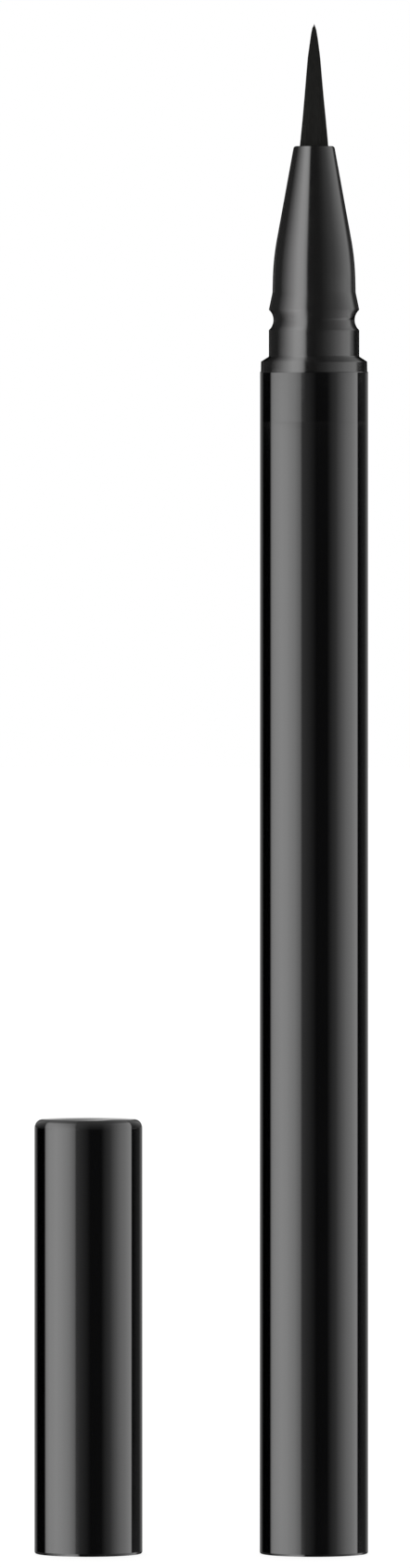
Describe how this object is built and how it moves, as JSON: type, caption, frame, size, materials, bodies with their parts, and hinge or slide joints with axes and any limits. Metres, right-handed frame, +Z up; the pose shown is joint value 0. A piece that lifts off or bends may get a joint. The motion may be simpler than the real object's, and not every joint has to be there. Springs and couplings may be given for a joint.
{
  "type": "liquid eyeliner pen",
  "caption": "Slim black liquid eyeliner pen with a tapered brush tip, inner ink tank and finned ink feed, and its spring-sealed cap standing beside it.",
  "frame": {"origin": "centre of the pen's flat foot", "axes": "+Z up the pen's axis to the brush tip; the cap stands beside the pen on the -X side"},
  "size_m": [0.0289, 0.0094, 0.1324],
  "materials": {
    "black_gloss": "moulded ABS with a polished clear coat",
    "black_satin": "moulded polypropylene, fine satin",
    "natural_plastic": "natural polypropylene, slightly cloudy",
    "white_plastic": "moulded white ABS",
    "soft_plug": "soft polyethylene",
    "feed_fibre": "bonded polyester fibre",
    "brush_fibre": "fine tapered bristle, inked black",
    "steel": "bright stainless steel"
  },
  "bodies": {
    "pen": {"barrel": "black_gloss", "tail_plug": "black_gloss", "ink_tank": "natural_plastic", "tank_plug": "soft_plug", "nose_cone": "black_satin", "ink_collector": "white_plastic", "feed_rod": "feed_fibre", "brush_holder": "white_plastic", "brush_tuft": "brush_fibre"},
    "mixing_ball": {"mixing_ball": "steel"},
    "cap": {"cap_shell": "black_gloss", "cap_spring": "steel"},
    "inner_cap": {"inner_cap": "soft_plug"}
  },
  "joints": [
    {"name": "cap_lift", "type": "slide", "parent": "pen", "child": "cap", "axis": [0, 0, 1], "range_m": [0, 0.15]},
    {"name": "inner_cap_slide", "type": "slide", "parent": "cap", "child": "inner_cap", "axis": [0, 0, 1], "range_m": [0, 0.0015], "stiffness_N_per_m": 350, "springref_m": -0.001, "deforming": ["cap_spring"]},
    {"name": "ball_travel", "type": "slide", "parent": "pen", "child": "mixing_ball", "axis": [0, 0, 1], "range_m": [0, 0.057]}
  ]
}
